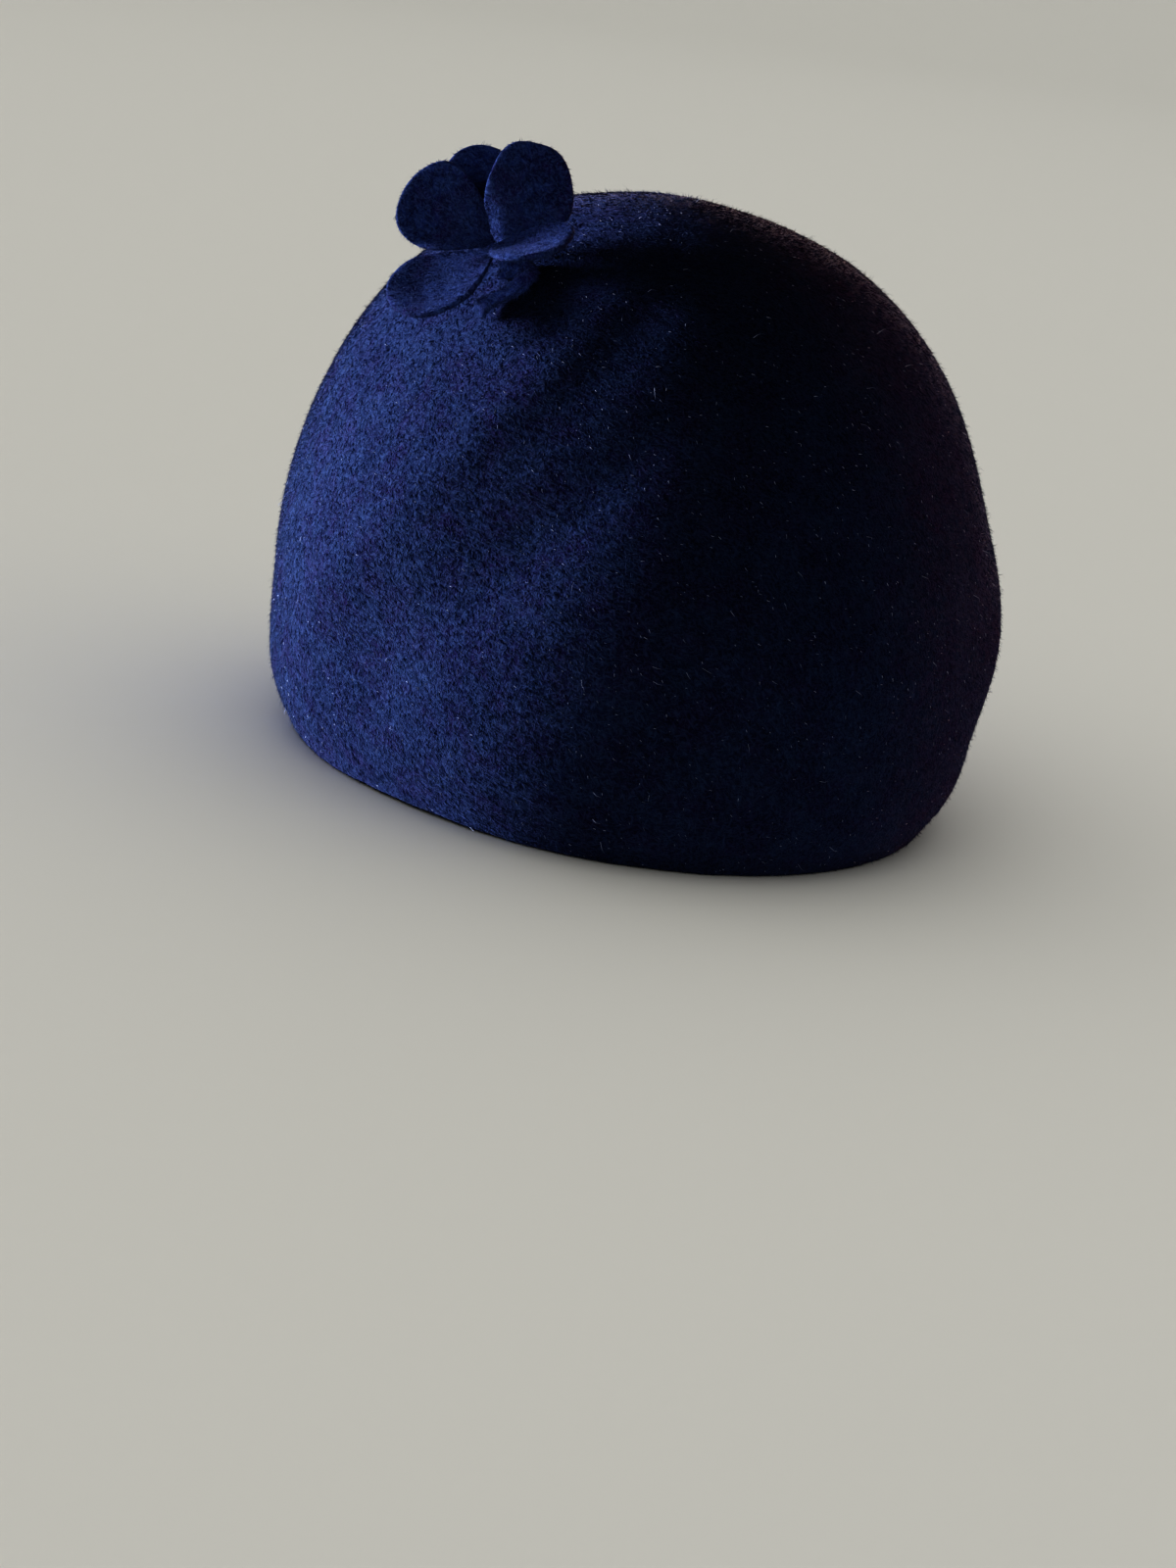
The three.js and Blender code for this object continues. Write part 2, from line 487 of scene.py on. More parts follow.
# Soft folds across the crown. Each runs from one place to another, given by its azimuth in degrees
# and its height in millimetres, and has the rise and the half width of its ridge in millimetres. The
# first takes out the form's own straight fold, which the shoulder is laid in place of.
FOLDS = (
    {"from": (-14, 36), "to": (56, 142), "rise": -1.5, "width": 9},
    {"from": (126, 42), "to": (166, 98), "rise": 0.7, "width": 7},
)
# Where a fold fades in and out, in shares of its length
FOLD_FADES = ((-0.15, 0.2), (0.8, 1.15))
# How far below its ridge a fold's valley lies, in half widths, and how deep it is beside the rise
VALLEY_BELOW = 1.9
VALLEY_SHARE = 0.9
# The line that the felt falls away below, and how steeply it does. In millimetres: how far below the
# line the fall starts, how round the bend is, how far down the felt comes back, and the height, place
# and half width of the faint ridge by the line. Its fades are in shares of its length.
SHOULDER = {
    "from": (-2, 47),
    "to": (36.5, 125),
    "fades": ((-0.35, 0.1), (0.65, 1.45)),
    "slope": 0.28,
    "start": 5,
    "bend": 0.8,
    "reach": 50,
    "rise": 0.6,
    "ridge": 2,
    "width": 5,
}
# The fall grows no more this many bends below its start
LONGEST_FALL = 40
# Unevenness all over: the size of its waves in millimetres, their share of the full height and a seed
UNEVEN_WAVES = ((34, 1, 3.1), (11, 0.4, 8.7))
# Puckers above the cut edge, and the edge's own waviness: how high, how far up and how wide they are in
# millimetres, and a seed
PUCKERS = {"height": 0.28, "reach": 7, "width": 4.6, "seed": 5.3}
WAVY_EDGE = {"height": 0.15, "reach": 5, "width": 14, "seed": 1.7}


def crown_skin():
    """The outside of the frame's crown, with its facets rounded, to lay the felt on."""
    bm = merged("crown")
    crease(bm, 1.0, lambda edge: all(v.co.z < 1e-6 for v in edge.verts))
    rough = subdivided(new_object("crown_form", bm), 2)
    skin = bmesh.new()
    skin.from_mesh(rough.data)
    bpy.data.objects.remove(rough)
    tree = BVHTree.FromBMesh(skin)
    skin.free()
    return tree


def laid_on(skin, way):
    """Where a straight line from outside, back towards the origin, meets the skin."""
    well_outside = 0.4
    spot = skin.ray_cast(way * well_outside, -way)[0]
    if spot is None:
        raise RuntimeError("the crown's form has a hole in it")
    return spot


def crown_dome(high):
    """An even net of four-sided faces laid on the crown's form, which reaches as high as that."""
    skin = crown_skin()
    bm = bmesh.new()
    bmesh.ops.create_cube(bm, size=2)
    bmesh.ops.subdivide_edges(bm, edges=bm.edges, cuts=CROWN_CUTS, use_grid_fill=True)
    bmesh.ops.bisect_plane(
        bm,
        geom=[*bm.verts, *bm.edges, *bm.faces],
        dist=1e-4,
        plane_co=(0, 0, 0),
        plane_no=(0, 0, -1),
        clear_outer=True,
    )
    for vert in bm.verts:
        even = Vector([math.tan(c * math.pi / 4) for c in vert.co])
        way = Vector([c * h for c, h in zip(even.normalized(), high)])
        at_edge = way.z < EDGE_MARGIN
        if at_edge:
            way.z = EDGE_MARGIN
        vert.co = laid_on(skin, way.normalized())
        if at_edge:
            vert.co.z = 0
    smoothed(bm, [v for v in bm.verts if v.co.z > high.z - CREST_HEIGHT], CREST_PASSES)
    return bm


def felt_crown(settings):
    """The hollow crown: its outside with the felt's relief, a wall inwards and a soft cut edge."""
    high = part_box("crown")[1]
    radius = (high.x + high.y) / 2
    bm = crown_dome(high)
    shifted(bm, lambda vert: felt_relief(vert, radius, settings.unevenness))
    made = new_object("felt_crown", bm, bpy.data.materials["navy_wool_felt"])
    wall = made.modifiers.new("Felt", "SOLIDIFY")
    wall.thickness = settings.felt
    wall.offset = -1
    cut_edge = made.modifiers.new("Cut edge", "BEVEL")
    cut_edge.width = CUT_ROUNDING
    cut_edge.segments = 2
    cut_edge.limit_method = "ANGLE"
    cut_edge.angle_limit = CUT_ANGLE
    subdivided(made, CROWN_LEVELS)
    fitted(made, "crown_felt", "crown")


def unrolled(azimuth, height, radius):
    """A place on the crown, given by its azimuth in radians, as if the crown were laid out flat."""
    return Vector((azimuth * radius, height))


def beside(line, place, radius):
    """Where a place lies by a line: its share of the way along, and how far below it in millimetres."""
    flat = unrolled(math.atan2(place.y / LENGTH_TO_WIDTH, place.x), place.z, radius)
    start = unrolled(math.radians(line["from"][0]), line["from"][1] * MM, radius)
    end = unrolled(math.radians(line["to"][0]), line["to"][1] * MM, radius)
    run = end - start
    away = flat - start
    below = (away.x * run.y - away.y * run.x) / run.length
    return away.dot(run) / run.length_squared, below / MM


def faded(along, fades):
    """How much of a fold there is at a share of its length: it fades in, and out again."""
    fade_in, fade_out = fades
    return eased(along, *fade_in) * (1 - eased(along, *fade_out))


def fold_relief(fold, place, radius):
    """Height of a fold at a place: a ridge with a valley below it."""
    along, below = beside(fold, place, radius)
    below /= fold["width"]
    valley = VALLEY_SHARE * math.exp(-((below - VALLEY_BELOW) ** 2))
    return fold["rise"] * MM * faded(along, FOLD_FADES) * (math.exp(-(below**2)) - valley)


def shoulder_relief(place, radius):
    """Height of the shoulder at a place: level above its line, a steady fall below it, and a slow
    return further down."""
    along, below = beside(SHOULDER, place, radius)
    bends = min((below - SHOULDER["start"]) / SHOULDER["bend"], LONGEST_FALL)
    drop = SHOULDER["bend"] * math.log1p(math.exp(bends))
    fall = SHOULDER["slope"] * drop * math.exp(-((below / SHOULDER["reach"]) ** 2))
    ridge = SHOULDER["rise"] * math.exp(-(((below - SHOULDER["ridge"]) / SHOULDER["width"]) ** 2))
    return MM * faded(along, SHOULDER["fades"]) * (ridge - fall)


def edge_height(row, place):
    """How high a row of waves along the cut edge stands at a place. It dies out above the edge."""
    return row["height"] * MM * math.exp(-place.z / (row["reach"] * MM))


def edge_wave(row, place):
    """Where a place lies on a row of waves along the cut edge, from about -1 to 1."""
    return wave(Vector((place.x, place.y, 0)), row["width"], row["seed"])


def felt_relief(vert, radius, unevenness):
    """How far a point of the crown moves: soft folds, unevenness all over, and small puckers that die
    out above the cut edge, where the felt was drawn in."""
    place = vert.co
    folds = sum(fold_relief(fold, place, radius) for fold in FOLDS) + shoulder_relief(place, radius)
    uneven = unevenness * sum(share * wave(place, size, seed) for size, share, seed in UNEVEN_WAVES)
    pucker = edge_height(PUCKERS, place) * edge_wave(PUCKERS, place)
    lift = edge_height(WAVY_EDGE, place) * (1 + edge_wave(WAVY_EDGE, place))
    return vert.normal * (folds + uneven + pucker) + Vector((0, 0, lift))


# Flower -------------------------------------------------------------------------------------

FLOWER_LEVELS = 2
# How sharp a petal's cut rim stays
RIM_CREASE = 0.12
# A petal's unevenness: the height and width of its face's ripples and grain in millimetres, and the
# share of its size that its outline wanders by, with the width of those waves
RIPPLE = {"height": 0.25, "width": 7}
GRAIN = {"height": 0.05, "width": 1.4}
OUTLINE = {"share": 0.05, "width": 8}
# How far a petal's root is drawn in to the flower's heart: at most so far, no more than this share of
# the way, in full within the first distance from the heart and not at all past the second
PULL = 3.5 * MM
PULL_SHARE = 0.45
PULL_ENDS = (8 * MM, 20 * MM)
# The stalk's smoothing, how much slimmer than its form it is in millimetres, and the lumps on it: their
# size and height in millimetres and a seed
STALK_PASSES = 10
STALK_SLIMMED = 0.6
STALK_LUMPS = ((3.0, 1.0, 11.0), (1.1, 0.25, 4.0))
# The stalk's lean, from its foot to its top, is to the wearer's right and back. It is full at the
# given share of the height, and the other given share of it goes the other way at the foot.
STALK_LEAN = Vector((-0.87, 0.5, 0)) * 6.5 * MM
STALK_LEAN_FULL = 0.75
STALK_LEAN_BACK = 0.35
# How far the stalk's foot is let down to lie on the crown
STALK_SINK = 1.5 * MM


def trim_name(node):
    """The name of the felt piece that stands for a node of the flower."""
    return "felt_" + node.replace("flower_", "")


def flower_heart():
    """The middle of the stalk's top, which the petals meet at."""
    places = [vert.co for vert in frame["nodes"]["flower_stalk"].data.vertices]
    top = max(place.z for place in places)
    ring = [place for place in places if place.z > top - 1 * MM]
    return sum(ring, Vector()) / len(ring)


def petal_relief(vert, seed, middle, heart):
    """How far a point of a petal moves: ripples and grain, an uneven outline and a drawn-in root."""
    ripple = RIPPLE["height"] * MM * wave(vert.co, RIPPLE["width"], seed)
    grain = GRAIN["height"] * MM * wave(vert.co, GRAIN["width"], seed)
    cut = OUTLINE["share"] * wave(vert.co, OUTLINE["width"], seed + 5)
    inward = heart - vert.co
    pull = min(PULL, PULL_SHARE * inward.length) * (1 - eased(inward.length, *PULL_ENDS))
    return vert.normal * (ripple + grain) + (vert.co - middle) * cut + inward.normalized() * pull


def felt_petal(node, seed):
    """One petal cut from felt, its rim a little uneven and its face softly rippled."""
    bm = merged(node)
    crease(bm, RIM_CREASE, lambda edge: edge.calc_face_angle(0) > CUT_ANGLE)
    rough = new_object(trim_name(node), bm, bpy.data.materials["navy_trim_felt"])
    made = subdivided(rough, FLOWER_LEVELS)
    low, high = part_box(node)
    middle = (low + high) / 2
    heart = flower_heart()
    reshaped(made, lambda vert: petal_relief(vert, seed, middle, heart))
    fitted(made, "flower_felt", node)


def stalk_relief(vert, low, high):
    """How far a point of the stalk moves: lumps, a lean that grows upwards and a foot let down."""
    lumps = sum(height * wave(vert.co, size, seed) for size, height, seed in STALK_LUMPS)
    share = (vert.co.z - low.z) / (high.z - low.z)
    lean = STALK_LEAN * (eased(share, 0, STALK_LEAN_FULL) - STALK_LEAN_BACK)
    sink = Vector((0, 0, -STALK_SINK * (1 - share)))
    return vert.normal * (MM * (lumps - STALK_SLIMMED)) + lean + sink


def felt_stalk():
    """The rolled felt cord, lumpy along its length, with a soft cut end."""
    rough = new_object("felt_stalk", merged("flower_stalk"), bpy.data.materials["navy_trim_felt"])
    made = subdivided(rough, FLOWER_LEVELS)
    low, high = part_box("flower_stalk")
    reshaped(made, lambda vert: stalk_relief(vert, low, high), STALK_PASSES)
    fitted(made, "flower_felt", "flower_stalk")


# Nap ----------------------------------------------------------------------------------------

# The nap is combed round the hat and down: how steeply down, beside the crown's half width in metres,
# and how far a fibre may turn from that direction to either side
COMBED_DOWN = 0.1
COMBED_SPREAD = math.radians(50)

# How far fibres lean from the upright, least and most
LYING = (math.radians(75), math.radians(88))
RAISED = (math.radians(30), math.radians(78))
UPRIGHT = (math.radians(15), math.radians(72))
# How much denser the nap is on the flower than on the crown
TRIM_DENSITY = 5
# The lowest that a fibre comes above the floor
FLOOR_GAP = 0.1 * MM


def spike(name, length, width, bend, material):
    """A lock of fibres as a thin three-sided spike standing on the origin, as one wool fibre is too
    fine to show. A bent one has a knee."""
    bm = bmesh.new()
    bmesh.ops.create_cone(
        bm,
        cap_ends=True,
        cap_tris=False,
        segments=3,
        radius1=width / 2,
        radius2=0,
        depth=length,
        matrix=Matrix.Translation((0, 0, length / 2)),
    )
    bmesh.ops.remove_doubles(bm, verts=bm.verts, dist=1e-7)
    if bend:
        knee = (0, 0, length / 2)
        bmesh.ops.bisect_plane(bm, geom=[*bm.verts, *bm.edges, *bm.faces], plane_co=knee, plane_no=(0, 0, 1))
        tip = max(bm.verts, key=lambda vert: vert.co.z)
        bmesh.ops.rotate(bm, verts=[tip], cent=knee, matrix=Matrix.Rotation(bend, 3, "X"))
    bmesh.ops.recalc_face_normals(bm, faces=bm.faces)
    made = new_object(name, bm, material)
    made.data.shade_flat()
    return made


def raised(nap):
    """Puts a finished nap on the hat."""
    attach(nap, "root")


def scattered(tree, ground, place, density, inside, seed):
    """Points on a piece of felt. Inside is the share of them on the side that faces the hat's middle."""
    felt = add(tree, "GeometryNodeObjectInfo", {"Object": ground}).outputs["Geometry"]
    normal = add(tree, "GeometryNodeInputNormal").outputs[0]
    outward = add(tree, "ShaderNodeVectorMath", {0: place, 1: normal}, operation="DOT_PRODUCT")
    faces_out = add(
        tree, "ShaderNodeMath", {0: outward.outputs["Value"], 1: 0.0}, operation="GREATER_THAN"
    )
    on_each_side = add(
        tree,
        "ShaderNodeMapRange",
        {"Value": faces_out.outputs[0], "To Min": density * inside, "To Max": density},
    )
    return add(
        tree,
        "GeometryNodeDistributePointsOnFaces",
        {"Mesh": felt, "Density": on_each_side.outputs[0], "Seed": seed},
    )


def combed(tree, points, place, lean, seed):
    """How each fibre is turned: away from the combed direction to a side, and down from the upright by
    a lean between two angles. A lean tips a fibre away from its own Y axis, which is first turned
    against the comb."""
    round_hat = add(tree, "ShaderNodeVectorMath", {0: (0, 0, -1), 1: place}, operation="CROSS_PRODUCT")
    against = add(
        tree,
        "ShaderNodeVectorMath",
        {0: round_hat.outputs[0], 1: (0, 0, COMBED_DOWN)},
        operation="ADD",
    )
    along = add(
        tree,
        "FunctionNodeAlignRotationToVector",
        {"Rotation": points.outputs["Rotation"], "Vector": against.outputs[0]},
        axis="Y",
        pivot_axis="Z",
    )
    drawn = add(
        tree,
        "FunctionNodeRandomValue",
        {0: (lean[0], 0, -COMBED_SPREAD), 1: (lean[1], 0, COMBED_SPREAD), "Seed": seed},
        data_type="FLOAT_VECTOR",
    )
    turn = add(tree, "FunctionNodeEulerToRotation", {0: drawn.outputs[0]})
    rotation = add(
        tree,
        "FunctionNodeRotateRotation",
        {"Rotation": along.outputs[0], "Rotate By": turn.outputs[0]},
        rotation_space="LOCAL",
    )
    return rotation.outputs[0]


def fibre_tone(tree, place, tones, seed):
    """A tone for each fibre, drawn between two, and less in the dark spots of the nap."""
    drawn = add(
        tree, "FunctionNodeRandomValue", {2: tones[0], 3: tones[1], "Seed": seed}, data_type="FLOAT"
    )
    spots = add(
        tree,
        "ShaderNodeTexNoise",
        {"Vector": place, "Scale": per(NAP_SPOT), "Detail": 4.0, "Roughness": 0.6},
    )
    spot = add(
        tree, "ShaderNodeMapRange", {"Value": spots.outputs["Fac"], "From Min": 0.3, "From Max": 0.7}
    )
    tone = add(tree, "ShaderNodeMath", {0: drawn.outputs[1], 1: spot.outputs[0]}, operation="MULTIPLY")
    return tone.outputs[0]


def fibre_layer(name, ground, fibre, density, seed, lean, stretch, tones=(0, 1), inside=0.0):
    """Scatters a fibre over a piece of felt. Lean is how far, least and most, each leans from the
    upright, stretch its share of full length, tones the range that its tone is drawn from, and
    inside the share of fibres on the side that faces the middle of the hat."""
    made = new_object(name, bmesh.new())
    tree = bpy.data.node_groups.new(name, "GeometryNodeTree")
    tree.interface.new_socket("Geometry", in_out="OUTPUT", socket_type="NodeSocketGeometry")
    strand = add(tree, "GeometryNodeObjectInfo", {"Object": fibre}).outputs["Geometry"]
    place = add(tree, "GeometryNodeInputPosition").outputs[0]
    points = scattered(tree, ground, place, density, inside, seed)
    size = add(
        tree,
        "FunctionNodeRandomValue",
        {0: (1, 1, stretch[0]), 1: (1, 1, stretch[1]), "Seed": seed + 2},
        data_type="FLOAT_VECTOR",
    )
    strands = add(
        tree,
        "GeometryNodeInstanceOnPoints",
        {
            "Points": points.outputs["Points"],
            "Instance": strand,
            "Rotation": combed(tree, points, place, lean, seed + 1),
            "Scale": size.outputs[0],
        },
    )
    toned = add(
        tree,
        "GeometryNodeStoreNamedAttribute",
        {
            "Geometry": strands.outputs[0],
            "Name": "fibre_tone",
            "Value": fibre_tone(tree, place, tones, seed + 3),
        },
        data_type="FLOAT",
        domain="INSTANCE",
    )
    solid = add(tree, "GeometryNodeRealizeInstances", {"Geometry": toned.outputs[0]})
    above_floor = add(
        tree, "ShaderNodeVectorMath", {0: place, 1: (-1, -1, FLOOR_GAP)}, operation="MAXIMUM"
    )
    laid = add(
        tree,
        "GeometryNodeSetPosition",
        {"Geometry": solid.outputs[0], "Position": above_floor.outputs[0]},
    )
    add(tree, "NodeGroupOutput", {"Geometry": laid.outputs[0]})
    made.modifiers.new("Fibres", "NODES").node_group = tree
    with_modifiers_applied(made)
    bpy.data.node_groups.remove(tree)
    return made


# Stage --------------------------------------------------------------------------------------


def direction(azimuth, elevation):
    """The way out from the hat at an azimuth, counted from its front, and an elevation."""
    level = math.cos(elevation)
    return Vector((math.sin(azimuth) * level, -math.cos(azimuth) * level, math.sin(elevation)))


def view_axes(settings):
    """The camera's right, up and back directions."""
    azimuth, roll = settings.azimuth, settings.roll
    back = direction(azimuth, settings.elevation)
    level = Vector((math.cos(azimuth), math.sin(azimuth), 0))
    upright = back.cross(level)
    right = level * math.cos(roll) + upright * math.sin(roll)
    return right, back.cross(right), back


def camera(settings):
    """Sets up the camera, with no shift and nothing out of focus."""
    right, up, back = view_axes(settings)
    aim = right * settings.aim_right + up * settings.aim_up
    data = bpy.data.cameras.new("camera")
    data.lens = settings.lens
    data.sensor_width = 36
    data.clip_start = 0.05
    made = bpy.data.objects.new("camera", data)
    turned = Matrix((right, up, back)).transposed().to_4x4()
    made.matrix_world = Matrix.Translation(aim + back * settings.distance) @ turned
    bpy.context.scene.collection.objects.link(made)
    bpy.context.scene.camera = made


def area_light(name, place, target, size, power, colour):
    """A rectangular light at a place, turned to its target."""
    data = bpy.data.lights.new(name, "AREA")
    data.shape = "RECTANGLE"
    data.size, data.size_y = size
    data.energy = power
    data.color = linear(colour)
    made = bpy.data.objects.new(name, data)
    made.location = place
    made.rotation_euler = (Vector(target) - Vector(place)).to_track_quat("-Z", "Y").to_euler()
    bpy.context.scene.collection.objects.link(made)
    return made


def round_view(settings, degrees, elevation, distance):
    """A place round the hat, counted from the camera: to its right above zero, to its left below."""
    return direction(settings.azimuth + math.radians(degrees), math.radians(elevation)) * distance


# Radius of the backdrop's bend and height of its wall, in metres
COVE_BEND = 3.5
COVE_WALL = 3.8
# What the window, the lamp and the back light point at, half way up the hat
HAT_MIDDLE = (0, 0, 80 * MM)
# Colours of daylight, of the lamp, of the light behind, of the ceiling and of the dim surroundings
DAYLIGHT = "#e6edff"
LAMPLIGHT = "#ff8048"
WARM_WHITE = "#ffe2cc"
CEILING_WHITE = "#fffcf8"
DIM_ROOM = "#dfe3ee"
DIM_STRENGTH = 0.01


def cove(settings):
    """A floor that curves up into a backdrop all round, so that no line shows where they meet."""
    flat = settings.floor_radius - COVE_BEND
    bm = bmesh.new()
    foot = bm.verts.new((flat, 0, 0))
    bmesh.ops.spin(bm, geom=[foot], cent=(flat, 0, COVE_BEND), axis=(0, -1, 0), angle=math.pi / 2, steps=24)
    top = max(bm.verts, key=lambda vert: vert.co.z)
    wall = bmesh.ops.extrude_vert_indiv(bm, verts=[top])["verts"]
    bmesh.ops.translate(bm, verts=wall, vec=(0, 0, COVE_WALL - COVE_BEND))
    middle = bmesh.ops.extrude_vert_indiv(bm, verts=[foot])["verts"]
    bmesh.ops.translate(bm, verts=middle, vec=(-flat, 0, 0))
    bmesh.ops.spin(
        bm,
        geom=[*bm.verts, *bm.edges],
        cent=(0, 0, 0),
        axis=(0, 0, 1),
        angle=2 * math.pi,
        steps=96,
        use_merge=True,
    )
    bmesh.ops.remove_doubles(bm, verts=bm.verts, dist=1e-5)
    floor_paint(settings.floor_colour)
    made = new_object("floor", bm, bpy.data.materials["matt_floor_paint"])
    return made


def linked(light, pieces, state):
    """Lets a light fall on some pieces only, or with the state EXCLUDE on all but them, as a board in
    front of a lamp does."""
    reach = bpy.data.collections.new(light.name + "_reach")
    for piece in pieces:
        reach.objects.link(piece)
    light.light_linking.receiver_collection = reach
    for piece in reach.collection_objects:
        piece.light_linking.link_state = state


def hat_lights(settings, floor):
    """A cool window at the left, and a weak warm lamp and a broad weak light behind. None of them falls
    on the floor, which stays pale and even beside a dark hat."""
    window = area_light(
        "window",
        round_view(settings, -100, 5, 1.5),
        HAT_MIDDLE,
        (0.36, 0.5),
        settings.key_power,
        DAYLIGHT,
    )
    lamp = area_light(
        "lamp",
        round_view(settings, 122, 14, 1.3),
        HAT_MIDDLE,
        (0.4, 0.4),
        settings.lamp_power,
        LAMPLIGHT,
    )
    back = area_light(
        "back",
        round_view(settings, 175, 12, 1.5),
        HAT_MIDDLE,
        (1.0, 0.5),
        settings.back_power,
        WARM_WHITE,
    )
    for light in (window, lamp, back):
        linked(light, [floor], "EXCLUDE")


def flower_lights(settings):
    """A little fill on the flower, and as much again on its stalk from lower down."""
    flower = [piece for piece in bpy.data.objects if "petal" in piece.name or "stalk" in piece.name]
    stalk = [piece for piece in flower if "stalk" in piece.name]
    low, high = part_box("petal_back")
    fill = area_light(
        "flower_fill",
        round_view(settings, -30, 26, 0.8),
        (low + high) / 2,
        (0.3, 0.3),
        settings.fill_power,
        DAYLIGHT,
    )
    linked(fill, flower, "INCLUDE")
    low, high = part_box("flower_stalk")
    under = area_light(
        "stalk_fill",
        round_view(settings, -10, 10, 0.8),
        (low + high) / 2,
        (0.2, 0.2),
        settings.fill_power,
        DAYLIGHT,
    )
    linked(under, stalk, "INCLUDE")


def room_light(settings, floor):
    """A ceiling that lights only the floor, dim surroundings, and how the picture is developed."""
    ceiling = area_light("ceiling", (0, 0, 4), (0, 0, 0), (14, 14), settings.ceiling_power, CEILING_WHITE)
    linked(ceiling, [floor], "INCLUDE")
    world = bpy.data.worlds.new("studio")
    bpy.context.scene.world = world
    world.use_nodes = True
    background = world.node_tree.nodes["Background"]
    background.inputs["Color"].default_value = opaque(linear(DIM_ROOM))
    background.inputs["Strength"].default_value = DIM_STRENGTH
    bpy.context.scene.view_settings.view_transform = "Standard"
    bpy.context.scene.view_settings.look = "Very High Contrast"


# Operators ----------------------------------------------------------------------------------


class HAT_OT_materials(bpy.types.Operator):
    """Make the felts and the fibres' finish"""

    bl_idname = "hat.materials"
    bl_label = "Felts"

    def execute(self, context):
        hat = context.scene.hat
        wool_felt("navy_wool_felt", hat.crown_colour, hat.tuft_shade_colour, hat.violet_colour, hat.fibre_colour)
        # Painted light: the trim felt is the crown's felt with a lighter colour, which brightens the flower
        wool_felt("navy_trim_felt", hat.lightened_flower_colour, hat.tuft_shade_colour, hat.violet_colour, hat.fibre_colour)
        wool_fibre("navy_wool_fibre", hat.crown_colour, hat.fibre_colour, hat.violet_fibre_colour)
        wool_fibre("pale_wool_fibre", hat.fibre_colour, hat.fleck_colour, hat.fleck_colour)
        return {"FINISHED"}


class HAT_OT_crown(bpy.types.Operator):
    """Lay the crown's felt over its form"""

    bl_idname = "hat.crown"
    bl_label = "Crown"

    def execute(self, context):
        felt_crown(context.scene.hat)
        return {"FINISHED"}


class HAT_OT_flower(bpy.types.Operator):
    """Cut the petals and roll the stalk"""

    bl_idname = "hat.flower"
    bl_label = "Flower"

    def execute(self, context):
        for row, node in enumerate(PETALS):
            felt_petal(node, 2.3 * row)
        felt_stalk()
        return {"FINISHED"}


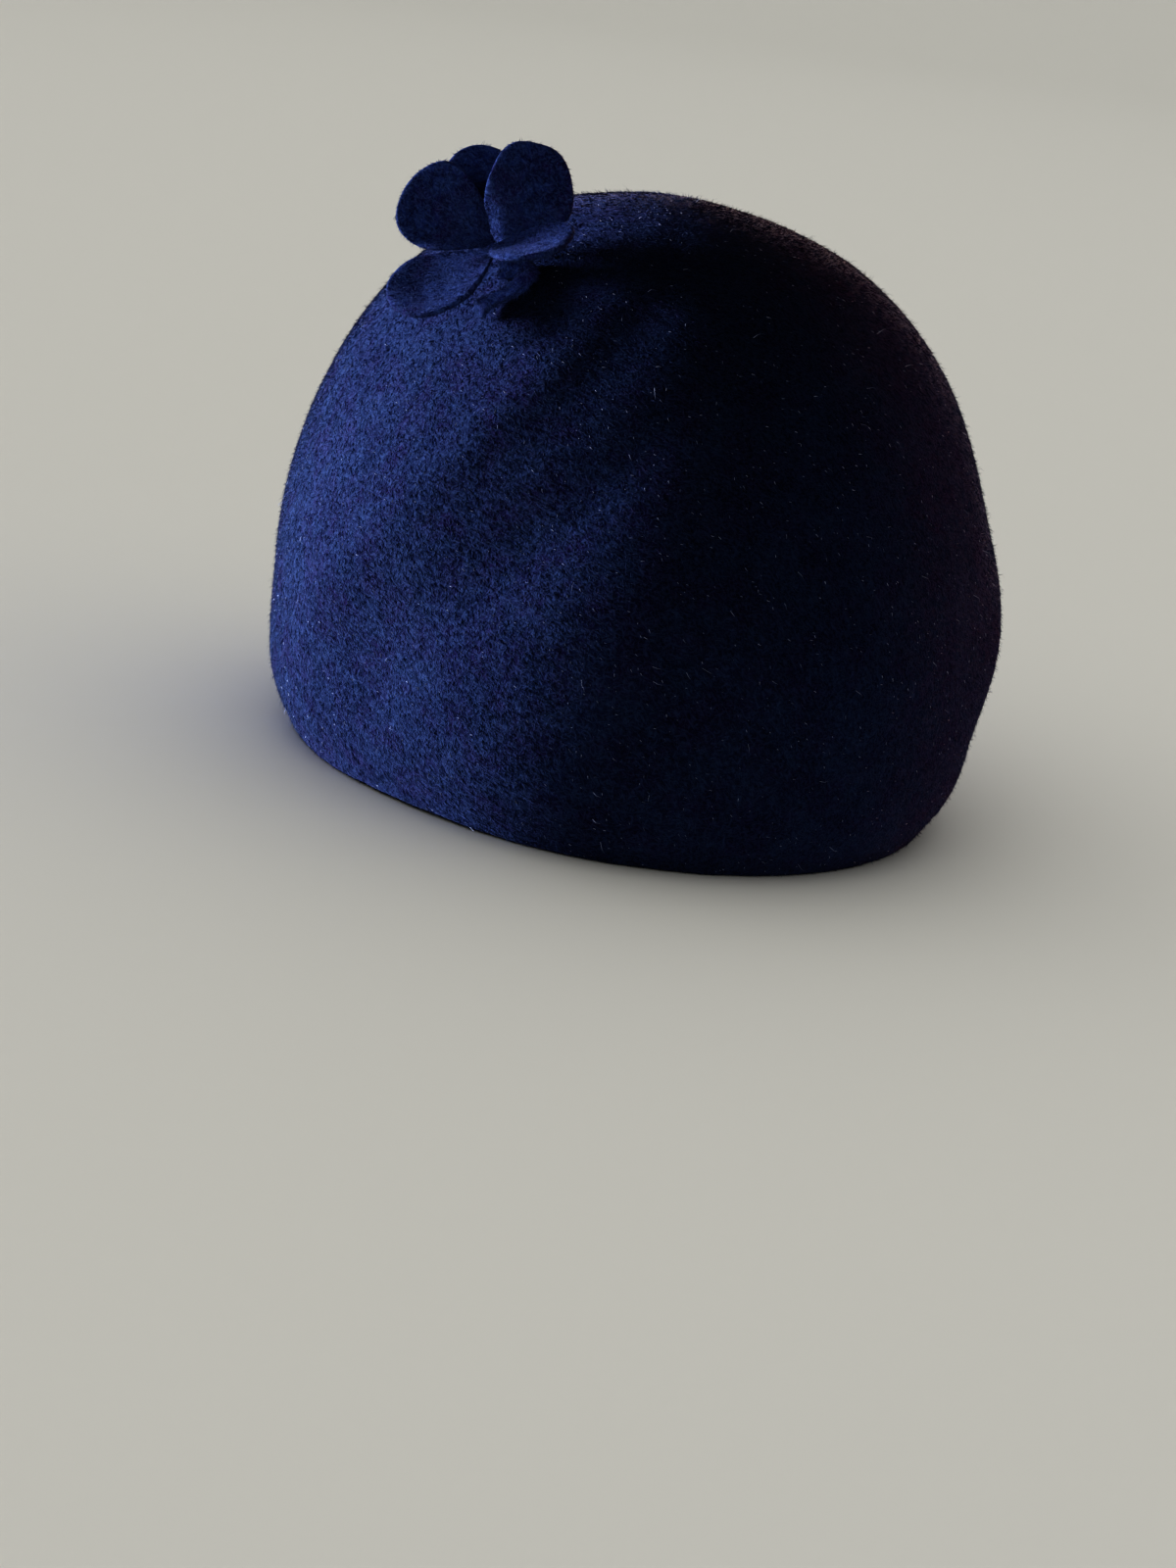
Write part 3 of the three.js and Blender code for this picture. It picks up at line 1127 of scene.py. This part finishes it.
class HAT_OT_nap(bpy.types.Operator):
    """Raise the nap on the crown and the flower"""

    bl_idname = "hat.nap"
    bl_label = "Nap"

    def execute(self, context):
        hat = context.scene.hat
        wool = bpy.data.materials["navy_wool_fibre"]
        pale = bpy.data.materials["pale_wool_fibre"]
        # Each fibre's length, width and bend
        tuft = spike("tuft", 1.4 * hat.nap_length, 0.2 * MM, 0, wool)
        short = spike("short_fibre", hat.nap_length, 0.14 * MM, 0, wool)
        stray = spike("stray_fibre", hat.stray_length, 0.1 * MM, math.radians(38), wool)
        fleck = spike("fleck", 0.5 * hat.stray_length, 0.26 * MM, math.radians(30), pale)
        lint = spike("lint", hat.stray_length, 0.17 * MM, math.radians(50), pale)
        crown = bpy.data.objects["felt_crown"]
        # Each layer's name, fibre, fibres on each square metre, lean, stretch and tones
        layers = (
            ("crown_tufts", tuft, hat.tuft_density, LYING, (0.5, 1.2), (0, 1)),
            ("crown_nap_low", short, hat.nap_density, LYING, (0.5, 1.2), (0, 1)),
            ("crown_nap_high", short, hat.nap_density, RAISED, (0.4, 1.1), (0, 1)),
            ("crown_stray_fibres", stray, 0.2 * hat.nap_density, UPRIGHT, (0.3, 0.9), (0, 1.5)),
            ("crown_pale_flecks", fleck, 0.09 * hat.nap_density, LYING, (0.3, 0.9), (0.3, 2.6)),
            ("crown_pale_strays", lint, 0.006 * hat.nap_density, RAISED, (0.5, 1.2), (0.5, 3.0)),
        )
        for row, (name, fibre, density, lean, stretch, tones) in enumerate(layers):
            nap = fibre_layer(name, crown, fibre, density, hat.seed + 10 * row, lean, stretch, tones)
            raised(nap)
        for row, node in enumerate((*PETALS, "flower_stalk")):
            ground = bpy.data.objects[trim_name(node)]
            seed = hat.seed + 100 + 10 * row
            stretch = (0.3, 0.9) if node in PETALS else (0.5, 1.4)
            density = TRIM_DENSITY * hat.nap_density
            nap = fibre_layer(node + "_nap", ground, short, density, seed, RAISED, stretch, inside=1)
            raised(nap)
        for fibre in (tuft, short, stray, fleck, lint):
            bpy.data.objects.remove(fibre)
        return {"FINISHED"}


class HAT_OT_stage(bpy.types.Operator):
    """Set out the floor, the lights and the camera"""

    bl_idname = "hat.stage"
    bl_label = "Stage"

    def execute(self, context):
        settings = context.scene.hat_stage
        floor = cove(settings)
        hat_lights(settings, floor)
        flower_lights(settings)
        room_light(settings, floor)
        camera(settings)
        return {"FINISHED"}


class HAT_PT_tools(bpy.types.Panel):
    """Lists the hat's steps in the order that they are made in"""

    bl_idname = "HAT_PT_tools"
    bl_label = "Cloche hat"
    bl_space_type = "VIEW_3D"
    bl_region_type = "UI"
    bl_category = "Hat"

    def draw(self, context):
        for step in STEPS:
            self.layout.operator(step)
        for group in (context.scene.hat, context.scene.hat_stage):
            for key in group.bl_rna.properties.keys():
                if key not in ("rna_type", "name"):
                    self.layout.prop(group, key)


STEPS = ("hat.materials", "hat.crown", "hat.flower", "hat.nap", "hat.stage")
CLASSES = (
    HatSettings,
    StageSettings,
    HAT_OT_materials,
    HAT_OT_crown,
    HAT_OT_flower,
    HAT_OT_nap,
    HAT_OT_stage,
    HAT_PT_tools,
)


def register():
    for cls in CLASSES:
        bpy.utils.register_class(cls)
    bpy.types.Scene.hat = PointerProperty(type=HatSettings)
    bpy.types.Scene.hat_stage = PointerProperty(type=StageSettings)


def unregister():
    del bpy.types.Scene.hat_stage
    del bpy.types.Scene.hat
    for cls in reversed(CLASSES):
        bpy.utils.unregister_class(cls)


def main():
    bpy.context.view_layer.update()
    register()
    bpy.ops.hat.materials()
    bpy.ops.hat.crown()
    bpy.ops.hat.flower()
    bpy.ops.hat.nap()
    bpy.ops.hat.stage()


if __name__ == "__main__":
    main()
